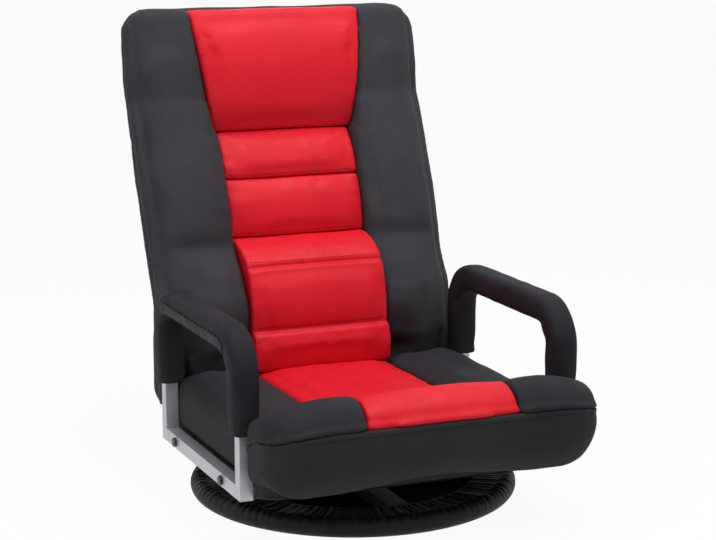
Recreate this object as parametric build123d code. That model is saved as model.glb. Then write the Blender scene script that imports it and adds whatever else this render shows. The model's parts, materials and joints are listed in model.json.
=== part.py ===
from build123d import *
from math import asin, atan2, cos, degrees, hypot, radians, sin
import os

# Floor gaming chair: a swivel ring base, a padded seat with bolted arms, and a ratchet recliner back.
# Millimetres, +Z up, origin on the floor under the swivel axis. The chair faces -Y, so the
# sitter's left is +X. Left pieces are modelled and mirrored across X = 0 to make the right ones.

# Base ring, its cross and its cloth cover
base_ring_radius = 238.0
base_tube_diameter = 28.0
base_tube_wall = 1.8
base_bar_width = 30.0
base_bar_height = 20.0
base_bar_wall = 2.5
base_hub_bore_margin = 3.0
cover_cloth = 1.7
cover_clearance = 0.3
cover_wrap_angle = 125.0
weld_gap = 0.2

# Ball-bearing swivel
swivel_sheet = 3.0
lower_plate_radius = 84.0
lower_bolt_radius = 70.0
dish_flange_width = 28.0
dish_foot_radius = 60.0
dish_slope_run = 14.0
race_radius = 48.0
race_rib_width = 16.0
race_lip = 1.0
race_floor = 2.0
ball_diameter = 8.0
ball_count = 20
ball_clearance = 0.12
cage_thickness = 1.2
cage_width = 13.0
king_pin_diameter = 12.0
king_pin_head_diameter = 22.0
king_pin_head_height = 5.0
king_nut_width = 21.0
king_nut_height = 8.0
swivel_bolt_count = 4
dish_bolt_turn = 45.0
bolt_diameter = 8.0
bolt_head_width = 13.0
bolt_head_height = 4.0
bolt_grip_below = 12.0
running_clearance = 0.05
bolt_clearance = 0.2
face_gap = 0.3

# Seat frame of square tube, webbing and underside cloth
frame_tube = 20.0
frame_wall = 1.5
seat_frame_height = 73.0
rail_front_y = -268.0
front_rail_inset = 12.0
rear_rail_y = 111.0
strap_count = 4
strap_width = 50.0
strap_thickness = 2.0
underside_cloth = 1.2

# Arms: square-tube brackets, bent inner tubes and padded sleeves
arm_seat_gap = 1.0
arm_front_y = -203.0
arm_rear_y = 137.0
bracket_tube = 20.0
bracket_wall = 1.5
post_height = 94.0
arm_rise = 133.0
arm_bend_radius = 52.0
arm_tube_diameter = 16.0
arm_tube_wall = 1.5
arm_tube_insert = 47.0
arm_pad_width = 42.0
arm_pad_clearance = 0.3
arm_bolt_inset_front = 69.0
arm_bolt_inset_rear = 56.0
arm_bolt_head_height = 4.5
arm_nut_height = 6.0
fabric_gap = 0.3

# Recline hinge with its ratchet
hinge_y = 190.0
hinge_z = 135.0
hinge_pin_diameter = 10.0
hinge_pin_head = 2.5
hinge_pin_head_radius = 10.0
cheek_sheet = 2.5
cheek_margin = 3.0
cheek_tab_length = 26.0
ratchet_thickness = 6.0
ratchet_tip_radius = 25.0
ratchet_tooth_depth = 4.5
recline_positions = 6
recline_step = 14.0
lock_angle = 292.0
tooth_root_span = 3.0
tooth_ramp_span = 8.0
pawl_length = 26.0
pawl_boss_radius = 7.0
pawl_backlash = 0.3
pawl_clearance = 0.4
pawl_lift = 13.0
pawl_pin_diameter = 6.0
tongue_width = 17.0
tongue_length = 35.0

# Back frame: one bent tube and its cross tubes
back_tube = 22.0
back_wall = 1.5
back_tube_start = 52.0
lumbar_bend_y, lumbar_bend_share = 200.0, 0.2142
head_bend_y, head_bend_share = 342.0, 0.7639
back_top_y, back_top_z = 360.0, 728.0
top_tube_drop = 24.0
back_bend_radius = 90.0
back_corner_radius = 55.0
cross_tube_shares = (0.130, 0.472, 0.742)
foam_gap = 0.4

# Seat cushions
seat_half_width = 242.0
seat_stripe_half_width = 114.0
seat_top = 178.0
seat_centre_top = 175.0
seat_rear_y = 141.0
seat_crown = 5.0
roll_rear_y = -226.0
roll_overhang = 24.0
roll_crest_y, roll_crest_z = -286.0, 232.0
roll_seam_y, roll_seam_z = -337.0, 194.0
roll_root_z = 150.0
apron_bulge = 13.0
apron_foot_y = -304.0
corner_run = 52.0
corner_shares = (0.6, 0.88, 1.0)
middle_parts = (0.35, 0.7)
side_round = 30.0
side_drop = 30.0
roll_stripe_half_width = 117.0
roll_front_bulge = 11.0
roll_rear_bulge = 12.0
roll_corner_drop = 30.0

# Back cushions
back_overhang = 15.0
back_stripe_half_width = 116.5
head_top_half_width = 150.0
bolster_front = 46.0
bolster_lumbar_front = 62.0
back_rear_depth = 44.0
barrel_radius = 40.0
seam_draw = 12.0
head_seam_y, head_seam_share = 297.0, 0.6678
chest_seam_y, chest_seam_share = 253.0, 0.5447
waist_seam_y, waist_seam_share = 227.0, 0.3912
lumbar_crest_y, lumbar_crest_share = 150.0, 0.3356
lumbar_seam_y, lumbar_seam_share = 124.0, 0.1670
lumbar_foot_y, lumbar_foot_drop = 112.0, 1.0
head_foot_half_width = 123.0
head_bulge = 20.0
pad_bulge = 8.0
pad_shoulder = 1.5
pad_draw = 5.0
bolster_chin_z = 206.0
bolster_heel_z = 188.0
lumbar_bulge_share = 0.253
bolster_top_share = 0.65
bolster_round = 52.0
bolster_runs = (0.4, 0.75, 1.0)
bolster_shares = (0.8, 0.5, 0.22)
bolster_drops = (3.0, 14.0, 38.0)
barrel_taper = 0.3
shoulder_swell = 0.3
arm_leg_gap = 2.0
hinge_slot_gap = 1.0

# Heights and places that follow from the sizes above
ring_z = cover_cloth + cover_clearance + base_tube_diameter / 2
arm_x = seat_half_width + arm_seat_gap + bracket_tube / 2
roll_half_width = seat_half_width + roll_overhang
back_half_width = seat_half_width + back_overhang
base_bar_top = ring_z + base_bar_height / 2
lower_plate_top = base_bar_top + swivel_sheet
ball_radius = ball_diameter / 2
ball_z = lower_plate_top + race_floor + ball_radius
dish_floor = ball_z + ball_radius + race_floor
dish_top_radius = dish_foot_radius + dish_slope_run
dish_flange_radius = dish_top_radius + dish_flange_width
dish_bolt_radius = dish_top_radius + dish_flange_width / 2
crossbar_y = dish_bolt_radius * sin(radians(dish_bolt_turn))
rail_z = seat_frame_height + frame_tube / 2
rail_top = seat_frame_height + frame_tube
rail_x = arm_x - bracket_tube / 2 - fabric_gap - frame_tube / 2
rail_inner_x = rail_x - frame_tube / 2
tab_front_y = seat_rear_y + 2 * foam_gap
rail_rear_y = tab_front_y + cheek_tab_length
cushion_floor = rail_top + strap_thickness + foam_gap
post_top = seat_frame_height + post_height
arm_rail_z = post_top + arm_rise
cheek_radius = ratchet_tip_radius + cheek_margin
ratchet_x = rail_inner_x - cheek_sheet - face_gap - ratchet_thickness / 2
hinge_stack_outer = rail_inner_x + hinge_pin_head
hinge_stack_inner = rail_inner_x - 2 * (cheek_sheet + face_gap) - ratchet_thickness - hinge_pin_head


def back_height(share):
    """Height of a place on the back, as a share of the way from the hinge to its top."""
    return hinge_z + share * (back_top_z - hinge_z)


lumbar_bend_z = back_height(lumbar_bend_share)
head_bend_z = back_height(head_bend_share)
head_seam_z = back_height(head_seam_share)
chest_seam_z = back_height(chest_seam_share)
waist_seam_z = back_height(waist_seam_share)
lumbar_crest_z = back_height(lumbar_crest_share)
lumbar_seam_z = back_height(lumbar_seam_share)
lumbar_bulge_z = back_height(lumbar_bulge_share)
lumbar_foot_z = seat_top - lumbar_foot_drop
cross_tube_heights = [back_height(share) for share in cross_tube_shares]
lower_lean = atan2(lumbar_bend_z - hinge_z, lumbar_bend_y - hinge_y)

pieces = {}


def add(name, *solids):
    """Keep a node's solids under its name."""
    pieces[name] = solids[0] if len(solids) == 1 else Compound(children=list(solids))


def add_pair(name, solid):
    """Keep a left solid and its mirrored right one."""
    add(name + "_left", solid)
    add(name + "_right", mirror(solid, about=Plane.YZ))


def cylinder_x(radius, x0, x1, y, z):
    """A round bar along X from x0 to x1."""
    plane = Plane(origin=(x0, y, z), x_dir=(0, 1, 0), z_dir=(1, 0, 0))
    return extrude(plane * Circle(radius), amount=x1 - x0)


def cylinder_z(radius, z0, z1, x=0.0, y=0.0):
    """A round bar along Z from z0 to z1."""
    return extrude(Plane.XY.offset(z0) * Location((x, y)) * Circle(radius), amount=z1 - z0)


def span_box(x0, x1, y0, y1, z0, z1):
    """A box between two corners."""
    box = Box(x1 - x0, y1 - y0, z1 - z0)
    return Location(((x0 + x1) / 2, (y0 + y1) / 2, (z0 + z1) / 2)) * box


def square_tube(size, wall, start, end):
    """A square tube, open at both ends, along X, Y or Z between two points."""
    axis = Vector(*end) - Vector(*start)
    plane = Plane(origin=start, x_dir=(0, 0, 1) if abs(axis.Z) < 1 else (1, 0, 0), z_dir=axis)
    profile = Rectangle(size, size) - Rectangle(size - 2 * wall, size - 2 * wall)
    return extrude(plane * profile, amount=axis.length)


def round_tube(path, outer, bore=0.0):
    """A round tube or bar along a path of straight runs and arcs."""
    plane = Plane(origin=path @ 0, z_dir=path % 0)
    profile = Circle(outer / 2) - Circle(bore / 2) if bore else Circle(outer / 2)
    return sweep(plane * profile, path=path)


def hex_bolt(diameter, head_width, head_height, length, plane):
    """A bolt whose head sits under the plane and whose shank runs along its normal."""
    head = extrude(plane * RegularPolygon(head_width / 2, 6, major_radius=False), amount=-head_height)
    return head + extrude(plane * Circle(diameter / 2), amount=length)


def on_circle(radius, count, first_angle=0.0):
    """Points evenly spaced on a circle round the swivel axis."""
    turns = [radians(first_angle + 360.0 * i / count) for i in range(count)]
    return [(radius * cos(t), radius * sin(t)) for t in turns]


def mid_y(z):
    """Depth of the back's middle surface, which the frame tube follows, at a height."""
    bends = [(hinge_z, hinge_y), (lumbar_bend_z, lumbar_bend_y), (head_bend_z, head_bend_y)]
    bends.append((back_top_z, back_top_y))
    if z <= hinge_z:
        return hinge_y
    for (z0, y0), (z1, y1) in zip(bends, bends[1:]):
        if z <= z1:
            return y0 + (y1 - y0) * (z - z0) / (z1 - z0)
    return back_top_y


def bulge_arc(x, start, end, bulge):
    """An arc at one X between two (y, z) points, swelling to the left of the way it runs."""
    (y0, z0), (y1, z1) = start, end
    run = hypot(y1 - y0, z1 - z0)
    y = (y0 + y1) / 2 - bulge * (z1 - z0) / run
    z = (z0 + z1) / 2 + bulge * (y1 - y0) / run
    return ThreePointArc((x, y0, z0), (x, y, z), (x, y1, z1))


def section(x, corners):
    """A closed face at one X. Each corner is (y, z, bulge of the side that leaves it)."""
    edges = []
    for here, there in zip(corners, corners[1:] + corners[:1]):
        if here[2]:
            edges.append(bulge_arc(x, here[:2], there[:2], here[2]))
        else:
            edges.append(Line((x, *here[:2]), (x, *there[:2])))
    return Face(Wire(edges))


# Base


def build_base():
    tube = Torus(base_ring_radius, base_tube_diameter / 2)
    bore = Torus(base_ring_radius, base_tube_diameter / 2 - base_tube_wall)
    add("base_ring", Location((0, 0, ring_z)) * (tube - bore))
    reach = 2 * base_ring_radius
    channel_width = base_bar_width - 2 * base_bar_wall
    cross = Box(reach, base_bar_width, base_bar_height) + Box(base_bar_width, reach, base_bar_height)
    hollow = Box(reach, channel_width, base_bar_height) + Box(channel_width, reach, base_bar_height)
    cross -= Location((0, 0, -base_bar_wall)) * hollow
    cross -= Torus(base_ring_radius, base_tube_diameter / 2 + weld_gap)
    cross = Location((0, 0, ring_z)) * max(cross.solids(), key=lambda s: s.volume)
    bore_radius = king_pin_head_diameter / 2 + base_hub_bore_margin
    cross -= cylinder_z(bore_radius, 0, base_bar_top)
    for x, y in on_circle(lower_bolt_radius, swivel_bolt_count):
        cross -= cylinder_z(bolt_diameter / 2 + bolt_clearance, 0, base_bar_top, x, y)
    add("base_cross", cross)


def build_base_cover():
    """A cloth disc under the ring, sewn to a gathered band that wraps over it."""
    add("base_cover_disc", cylinder_z(base_ring_radius, 0, cover_cloth))
    inner = base_tube_diameter / 2 + cover_clearance
    outer = inner + cover_cloth

    def on_band(radius, angle):
        turn = radians(angle)
        return (base_ring_radius + radius * cos(turn), 0, ring_z + radius * sin(turn))

    first, last = -90.0 + degrees(asin(cover_clearance / outer)), cover_wrap_angle
    middle = (first + last) / 2
    skin = [
        ThreePointArc(on_band(outer, first), on_band(outer, middle), on_band(outer, last)),
        Line(on_band(outer, last), on_band(inner, last)),
        ThreePointArc(on_band(inner, last), on_band(inner, middle), on_band(inner, first)),
        Line(on_band(inner, first), on_band(outer, first)),
    ]
    add("base_cover_band", revolve(Face(Wire(skin)), axis=Axis.Z))


# Swivel


def ring_section(points):
    """Revolve a closed (radius, z) outline round the swivel axis."""
    return revolve(Plane.XZ * make_face(Polyline(*points, close=True)), axis=Axis.Z)


def build_swivel():
    rib_inner = race_radius - race_rib_width / 2
    rib_outer = race_radius + race_rib_width / 2
    pin_hole = king_pin_diameter / 2 + running_clearance
    groove = Location((0, 0, ball_z)) * Torus(race_radius, ball_radius + ball_clearance)
    rib_top = ball_z - race_lip
    lower = ring_section([
        (pin_hole, base_bar_top), (lower_plate_radius, base_bar_top),
        (lower_plate_radius, lower_plate_top), (rib_outer, lower_plate_top), (rib_outer, rib_top),
        (rib_inner, rib_top), (rib_inner, lower_plate_top), (pin_hole, lower_plate_top),
    ]) - groove
    screws = []
    for x, y in on_circle(lower_bolt_radius, swivel_bolt_count):
        hole = cylinder_z(bolt_diameter / 2 + bolt_clearance, base_bar_top, lower_plate_top, x, y)
        lower -= hole
        at = Plane(origin=(x, y, lower_plate_top), z_dir=(0, 0, -1))
        screws.append(hex_bolt(bolt_diameter, bolt_head_width, bolt_head_height,
                               swivel_sheet + base_bar_height, at))
    add("swivel_lower_plate", lower)
    add("swivel_lower_bolts", *screws)

    rib_bottom = ball_z + race_lip
    floor_top = dish_floor + swivel_sheet
    flange_bottom = seat_frame_height - swivel_sheet
    wall = swivel_sheet
    upper = ring_section([
        (king_pin_diameter / 2 + bolt_clearance, dish_floor), (rib_inner, dish_floor),
        (rib_inner, rib_bottom), (rib_outer, rib_bottom), (rib_outer, dish_floor),
        (dish_foot_radius, dish_floor), (dish_top_radius, flange_bottom),
        (dish_flange_radius, flange_bottom), (dish_flange_radius, seat_frame_height),
        (dish_top_radius - wall, seat_frame_height), (dish_foot_radius - wall, floor_top),
        (king_pin_diameter / 2 + bolt_clearance, floor_top),
    ]) - groove
    bolts = []
    for x, y in on_circle(dish_bolt_radius, swivel_bolt_count, dish_bolt_turn):
        upper -= cylinder_z(bolt_diameter / 2 + bolt_clearance, flange_bottom, seat_frame_height, x, y)
        bolts.append(hex_bolt(bolt_diameter, bolt_head_width, bolt_head_height,
                              swivel_sheet + bolt_grip_below, Plane.XY.offset(flange_bottom)
                              * Location((x, y))))
    add("swivel_upper_dish", upper)
    add("swivel_upper_bolts", *bolts)

    balls = [Location((x, y, ball_z)) * Sphere(ball_radius) for x, y in on_circle(race_radius, ball_count)]
    add("swivel_balls", *balls)
    cage = Cylinder(race_radius + cage_width / 2, cage_thickness)
    cage -= Cylinder(race_radius - cage_width / 2, cage_thickness)
    for x, y in on_circle(race_radius, ball_count):
        cage -= Location((x, y)) * Cylinder(ball_radius + ball_clearance, cage_thickness)
    add("swivel_cage", Location((0, 0, ball_z)) * cage)

    head_top = base_bar_top - face_gap
    pin = cylinder_z(king_pin_head_diameter / 2, head_top - king_pin_head_height, head_top)
    pin += cylinder_z(king_pin_diameter / 2, head_top, floor_top + king_nut_height)
    add("swivel_king_pin", pin)
    hexagon = RegularPolygon(king_nut_width / 2, 6, major_radius=False)
    nut = extrude(Plane.XY.offset(floor_top) * hexagon, amount=king_nut_height)
    nut -= cylinder_z(king_pin_diameter / 2 + running_clearance, floor_top, floor_top + king_nut_height)
    add("swivel_king_nut", nut)


# Seat frame


def build_seat_frame():
    side = square_tube(frame_tube, frame_wall, (rail_x, rail_front_y, rail_z), (rail_x, rail_rear_y, rail_z))
    for y in arm_bolt_places():
        reach = frame_tube / 2 + fabric_gap
        side -= cylinder_x(bolt_diameter / 2 + bolt_clearance, rail_x - reach, rail_x + reach, y, rail_z)
    add_pair("seat_side_rail", side)
    front_y = rail_front_y + front_rail_inset
    for name, y in (("seat_front_rail", front_y), ("seat_rear_rail", rear_rail_y)):
        ends = (-rail_inner_x + weld_gap, y, rail_z), (rail_inner_x - weld_gap, y, rail_z)
        add(name, square_tube(frame_tube, frame_wall, *ends))
    bars = []
    for y in (-crossbar_y, crossbar_y):
        ends = (-rail_inner_x + weld_gap, y, rail_z), (rail_inner_x - weld_gap, y, rail_z)
        bar = square_tube(frame_tube, frame_wall, *ends)
        for x in (-crossbar_y, crossbar_y):
            bar -= cylinder_z(bolt_diameter / 2 + bolt_clearance, seat_frame_height, rail_z, x, y)
        bars.append(bar)
    add("seat_crossbars", *bars)

    reach = rail_x + frame_tube / 2
    first = front_y + strap_width / 2
    pitch = (rear_rail_y - strap_width / 2 - first) / (strap_count - 1)
    straps = []
    for i in range(strap_count):
        y = first + i * pitch
        straps.append(span_box(-reach, reach, y - strap_width / 2, y + strap_width / 2,
                               rail_top, rail_top + strap_thickness))
    add("seat_webbing", *straps)

    cloth = span_box(-reach, reach, rail_front_y, rail_rear_y,
                     seat_frame_height - underside_cloth, seat_frame_height)
    cloth -= cylinder_z(dish_flange_radius + face_gap, 0, seat_frame_height)
    add("seat_underside_cloth", cloth)


# Arms


def arm_bolt_places():
    """Depths of the two bolts that hold a bracket to the side rail."""
    return arm_front_y + arm_bolt_inset_front, arm_rear_y - arm_bolt_inset_rear


def build_arms():
    half = bracket_tube / 2
    bar_ends = (arm_x, arm_front_y - half, rail_z), (arm_x, arm_rear_y + half, rail_z)
    bracket = span_box(arm_x - half, arm_x + half, bar_ends[0][1], bar_ends[1][1],
                       rail_z - half, rail_z + half)
    inside = half - bracket_wall
    hollow = span_box(arm_x - inside, arm_x + inside, bar_ends[0][1] + bracket_wall,
                      bar_ends[1][1] - bracket_wall, rail_z - inside, rail_z + inside)
    for y in (arm_front_y, arm_rear_y):
        bracket += span_box(arm_x - half, arm_x + half, y - half, y + half, rail_z - half, post_top)
        hollow += span_box(arm_x - inside, arm_x + inside, y - inside, y + inside, rail_z, post_top)
    bracket -= hollow
    bolts = []
    for y in arm_bolt_places():
        bracket -= cylinder_x(bolt_diameter / 2 + bolt_clearance, arm_x - half, arm_x + half, y, rail_z)
        at = Plane(origin=(arm_x + half, y, rail_z), x_dir=(0, 0, 1), z_dir=(-1, 0, 0))
        shank = arm_x + half - rail_inner_x + arm_nut_height
        bolts.append(hex_bolt(bolt_diameter, bolt_head_width, arm_bolt_head_height, shank, at))
        seat = Plane(origin=(rail_inner_x, y, rail_z), x_dir=(0, 0, 1), z_dir=(-1, 0, 0))
        hexagon = RegularPolygon(bolt_head_width / 2, 6, major_radius=False)
        nut = extrude(seat * hexagon, amount=arm_nut_height)
        nut -= cylinder_x(bolt_diameter / 2 + running_clearance, rail_inner_x - arm_nut_height,
                          rail_inner_x, y, rail_z)
        bolts.append(nut)
    add_pair("arm_bracket", bracket)
    add("arm_bolts_left", *bolts)
    add("arm_bolts_right", *[mirror(bolt, about=Plane.YZ) for bolt in bolts])

    def loop(foot_z):
        corners = [(arm_x, arm_front_y, foot_z), (arm_x, arm_front_y, arm_rail_z),
                   (arm_x, arm_rear_y, arm_rail_z), (arm_x, arm_rear_y, foot_z)]
        return FilletPolyline(*corners, radius=arm_bend_radius)

    tube = round_tube(loop(post_top - arm_tube_insert), arm_tube_diameter,
                      arm_tube_diameter - 2 * arm_tube_wall)
    add_pair("arm_tube", tube)
    pad = round_tube(loop(post_top + arm_pad_clearance), arm_pad_width,
                     arm_tube_diameter + 2 * arm_pad_clearance)
    add_pair("arm_pad", pad)


# Recline hinge


def polar(radius, angle, centre=(hinge_y, hinge_z)):
    """A (y, z) point at a radius and an angle in degrees, from +Y towards +Z."""
    turn = radians(angle)
    return centre[0] + radius * cos(turn), centre[1] + radius * sin(turn)


def plate_x(x0, x1, sketch):
    """A flat plate between two X planes, from a sketch in (y, z)."""
    return extrude(Plane.YZ.offset(x0) * sketch, amount=x1 - x0)


def spot(radius, centre):
    """A disc sketch at a (y, z) point."""
    return Location(centre) * Circle(radius)


def pawl_pivot():
    """The pawl turns about a point on the tangent of the locking tooth, so it lifts straight out."""
    nose = polar(ratchet_tip_radius - ratchet_tooth_depth / 2, lock_angle)
    turn = radians(lock_angle)
    return nose[0] + pawl_length * sin(turn), nose[1] - pawl_length * cos(turn)


def build_hinge():
    axis = hinge_y, hinge_z
    pivot = pawl_pivot()
    half = ratchet_thickness / 2
    root = ratchet_tip_radius - ratchet_tooth_depth

    wheel = spot(ratchet_tip_radius, axis)
    for i in range(recline_positions):
        flank = lock_angle + i * recline_step
        beyond = ratchet_tip_radius + ratchet_tooth_depth
        ramp = tooth_ramp_span * (beyond - root) / ratchet_tooth_depth
        notch = Polyline(polar(root, flank), polar(beyond, flank),
                         polar(beyond, flank - tooth_root_span - ramp),
                         polar(root, flank - tooth_root_span), close=True)
        wheel -= make_face(notch)
    lean = degrees(lower_lean)
    reach = back_tube_start + tongue_length
    tongue = Location(axis, lean) * Location((reach / 2, 0)) * Rectangle(reach, tongue_width)
    wheel = wheel + tongue - spot(hinge_pin_diameter / 2 + running_clearance, axis)
    add_pair("hinge_ratchet", plate_x(ratchet_x - half, ratchet_x + half, wheel))

    tab = [(tab_front_y, seat_frame_height), (rail_rear_y, seat_frame_height),
           (rail_rear_y, rail_top), (tab_front_y, rail_top)]
    lugs = spot(cheek_radius, axis) + spot(pawl_boss_radius + cheek_margin, pivot)
    lugs += make_face(Polyline(*tab, close=True))
    cheek = make_hull(lugs.edges())
    cheek -= spot(hinge_pin_diameter / 2 + running_clearance, axis)
    cheek -= spot(pawl_pin_diameter / 2 + running_clearance, pivot)
    gap = half + face_gap
    bracket = plate_x(ratchet_x + gap, rail_inner_x, cheek)
    bracket += plate_x(ratchet_x - gap - cheek_sheet, ratchet_x - gap, cheek)
    bracket += span_box(ratchet_x - gap - cheek_sheet, rail_inner_x, tab_front_y,
                        tab_front_y + cheek_sheet, seat_frame_height, rail_top)
    add_pair("hinge_bracket", bracket)

    inner, outer = ratchet_x - gap - cheek_sheet, rail_inner_x
    pin = cylinder_x(hinge_pin_diameter / 2, inner, outer, *axis)
    for x0, x1 in ((inner - hinge_pin_head, inner), (outer, outer + hinge_pin_head)):
        pin += cylinder_x(hinge_pin_head_radius, x0, x1, *axis)
    add_pair("hinge_pin", pin)
    add_pair("pawl_pin", cylinder_x(pawl_pin_diameter / 2, inner, outer, *pivot))

    slack = degrees(pawl_backlash / root)
    edge = ratchet_tip_radius + pawl_clearance
    flank = lock_angle - slack
    back = lock_angle - tooth_root_span + slack
    nose = Polyline(polar(root + pawl_clearance, flank), polar(edge + pawl_clearance, flank),
                    polar(edge + pawl_clearance, back - tooth_ramp_span + slack),
                    polar(root + pawl_clearance, back), close=True)
    heel = Polyline(polar(edge, flank), polar(edge + pawl_boss_radius, flank - tooth_root_span),
                    polar(edge, back - tooth_ramp_span), close=True)
    arm = make_hull((spot(pawl_boss_radius, pivot) + make_face(heel)).edges())
    arm = arm - spot(edge, axis) + make_face(nose)
    arm -= spot(pawl_pin_diameter / 2 + running_clearance, pivot)
    pawl = plate_x(ratchet_x - half, ratchet_x + half, arm)
    swing = Axis((ratchet_x, *pivot), (1, 0, 0))
    add_pair("hinge_pawl", pawl.rotate(swing, -pawl_lift))


# Back frame


def frame_path():
    """The back tube's centreline: up one side, across the top and down the other."""
    start = polar(back_tube_start, degrees(lower_lean))
    top_z = back_top_z - top_tube_drop
    side = [start, (lumbar_bend_y, lumbar_bend_z), (head_bend_y, head_bend_z), (mid_y(top_z), top_z)]
    corners = [(ratchet_x, y, z) for y, z in side] + [(-ratchet_x, y, z) for y, z in reversed(side)]
    bends = [back_bend_radius, back_bend_radius, back_corner_radius]
    return FilletPolyline(*corners, radius=bends + bends[::-1])


def build_back_frame():
    add("back_frame", round_tube(frame_path(), back_tube, back_tube - 2 * back_wall))
    socket = round_tube(frame_path(), back_tube + 2 * weld_gap)
    bars = []
    for z in cross_tube_heights:
        bar = cylinder_x(back_tube / 2, -ratchet_x, ratchet_x, mid_y(z), z)
        bar -= cylinder_x(back_tube / 2 - back_wall, -ratchet_x, ratchet_x, mid_y(z), z)
        bars.append(max((bar - socket).solids(), key=lambda s: s.volume))
    add("back_cross_tubes", *bars)


# Seat cushions


def seat_pad(x, top, drop):
    """A seat pad's section at one X: a crowned top between its front and rear seams."""
    front = roll_rear_y + foam_gap
    edge = top - seat_crown - drop
    return section(x, [
        (front, cushion_floor, 0), (front, edge, seat_crown), (seat_rear_y, edge, 0),
        (seat_rear_y, cushion_floor, 0),
    ])


def corner_pull(x):
    """How far the seat's front draws back at one X, round its plan corner."""
    past = abs(x) - (roll_half_width - corner_run)
    return corner_run - max(corner_run ** 2 - past ** 2, 0.0) ** 0.5 if past > 0 else 0.0


def roll_split(y):
    """Height of the flat split between the front roll and the apron at one depth."""
    return roll_root_z + (roll_seam_z - roll_root_z) * (roll_rear_y - y) / (roll_rear_y - roll_seam_y)


def front_roll(x, draw):
    """The raised front roll's section at one X, from its front seam over the crest."""
    pull = corner_pull(x)
    crest = roll_crest_y + pull / 2, roll_crest_z - roll_corner_drop * pull / corner_run - draw
    seam_y = roll_seam_y + pull + draw
    return section(x, [
        (seam_y, roll_split(seam_y), roll_front_bulge), (*crest, roll_rear_bulge),
        (roll_rear_y, seat_top - seat_crown, 0), (roll_rear_y, roll_root_z, 0),
    ])


def front_apron(x):
    """The black apron under the roll, from the underside to the front seam."""
    pull = corner_pull(x)
    seam_y = roll_seam_y + pull
    return section(x, [
        (apron_foot_y + pull / 2, cushion_floor, apron_bulge),
        (seam_y, roll_split(seam_y) - foam_gap, 0), (roll_rear_y, roll_root_z - foam_gap, 0),
        (roll_rear_y, cushion_floor, 0),
    ])


def build_seat():
    edge = seat_stripe_half_width - foam_gap / 2
    add("seat_centre_pad", loft([
        seat_pad(-edge, seat_centre_top, seam_draw / 2), seat_pad(0, seat_centre_top, 0),
        seat_pad(edge, seat_centre_top, seam_draw / 2),
    ]))
    inner = seat_stripe_half_width + foam_gap / 2
    shoulder = seat_half_width - side_round
    add_pair("seat_side_pad", loft([
        seat_pad(inner, seat_top, seam_draw), seat_pad(inner + side_round, seat_top, 0),
        seat_pad(shoulder, seat_top, 0), seat_pad(seat_half_width - side_round / 4, seat_top, side_drop / 3),
        seat_pad(seat_half_width, seat_top, side_drop),
    ]))
    edge = roll_stripe_half_width - foam_gap / 2
    add("front_roll_centre", loft([front_roll(-edge, seam_draw / 3), front_roll(0, 0),
                                   front_roll(edge, seam_draw / 3)]))
    inner = roll_stripe_half_width + foam_gap / 2
    shoulder = roll_half_width - corner_run
    stations = [shoulder] + [shoulder + corner_run * share for share in corner_shares]
    wing = [front_roll(inner, seam_draw / 3), front_roll(inner + side_round, 0)]
    add_pair("front_roll_side", loft(wing + [front_roll(x, 0) for x in stations]))
    stations = [shoulder * part for part in middle_parts] + stations
    sides = [-x for x in reversed(stations)] + [0.0] + stations
    add("seat_apron", loft([front_apron(x) for x in sides]))


# Back cushions


def back_pad(x, draw, front, foot_z, top_z):
    """A red back pad's section at one X. Front corners run upwards as (y, z, bulge)."""
    corners = [(y + draw, z, bulge) for y, z, bulge in front]
    bends = [z for z in (head_bend_z, lumbar_bend_z) if foot_z < z < top_z]
    rear = [(mid_y(z) - foam_gap, z, 0) for z in [top_z] + bends + [foot_z]]
    return section(x, corners + rear)


def crowned_pad(half_width, front, foot_z, top_z):
    """Loft a back pad whose edges draw back into the seams beside it."""
    stations = [(-half_width, pad_draw), (side_round - half_width, pad_shoulder), (0.0, 0.0),
                (half_width - side_round, pad_shoulder), (half_width, pad_draw)]
    return loft([back_pad(x, draw, front, foot_z, top_z) for x, draw in stations])


def head_wedge(margin):
    """The head panel's tapered outline as a prism, grown by a margin on each side."""
    low, high = head_seam_z, back_top_z + back_rear_depth
    slope = (head_top_half_width - head_foot_half_width) / (back_top_z - head_seam_z)
    wide = head_foot_half_width + slope * (high - low) + margin
    foot = head_foot_half_width + margin
    outline = Polyline((-foot, low), (foot, low), (wide, high), (-wide, high), close=True)
    return extrude(Plane.XZ * make_face(outline), amount=2 * back_top_y, both=True)


def bolster(x, share, draw, drop, swell):
    """A side bolster's section at one X. Its front depth has a share of the full one, drawn back
    at a seam, its top drops at the corner, and its lumbar part swells forward."""
    leg_clear = arm_rear_y + arm_pad_width / 2 + arm_leg_gap if share < 1 else 0.0
    radius = barrel_radius * (1 - barrel_taper * (1 - share))
    top = back_top_z - drop
    upper = bolster_front * share - draw
    lumbar = upper + swell * (bolster_lumbar_front - bolster_front)
    chin = max(mid_y(bolster_chin_z) - lumbar, leg_clear)
    return section(x, [
        (hinge_y - foam_gap, hinge_z - radius, radius * (1 - cos(radians(45)))),
        (hinge_y - radius, hinge_z, 0),
        (max(hinge_y - radius, leg_clear), bolster_heel_z, 0),
        (chin, bolster_chin_z, pad_bulge / 2),
        (mid_y(lumbar_bulge_z) - lumbar, lumbar_bulge_z, -pad_bulge / 2),
        (mid_y(waist_seam_z) - upper, waist_seam_z, pad_bulge / 2),
        (mid_y(head_bend_z) - upper, head_bend_z, pad_bulge / 2),
        (mid_y(top) - upper * bolster_top_share, top - seam_draw / 2, seam_draw / 4),
        (mid_y(top) - foam_gap, top, 0), (head_bend_y - foam_gap, head_bend_z, 0),
        (lumbar_bend_y - foam_gap, lumbar_bend_z, 0), (hinge_y - foam_gap, hinge_z, 0),
    ])


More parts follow.
